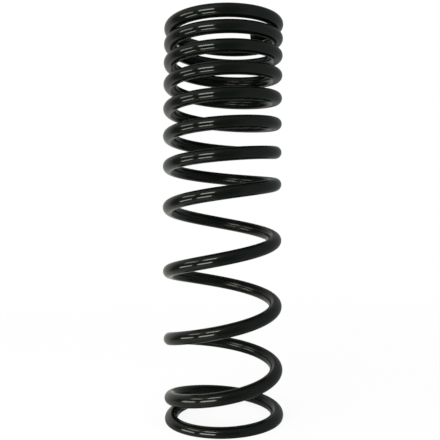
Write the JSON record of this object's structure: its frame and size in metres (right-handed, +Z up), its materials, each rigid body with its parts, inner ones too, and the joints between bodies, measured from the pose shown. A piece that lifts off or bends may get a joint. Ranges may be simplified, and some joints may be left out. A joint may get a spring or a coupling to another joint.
{
  "type": "suspension spring",
  "caption": "Progressive-rate coil spring for a suspension damper: wide turns below, close turns above, one closed and ground end to stand on, gloss black coat.",
  "frame": {"origin": "centre of the ground seat, on the plane that the spring stands on", "axes": "+Z up the spring's axis at the seat; the free axis bows a little and its top leans towards +X; the bottom tip points to 129 degrees counter-clockwise from +X"},
  "size_m": [0.086, 0.0808, 0.2725],
  "materials": {
    "gloss_black_coat": "gloss black coat on spring steel wire"
  },
  "bodies": {
    "root": {"coil_spring": "gloss_black_coat"}
  },
  "joints": []
}
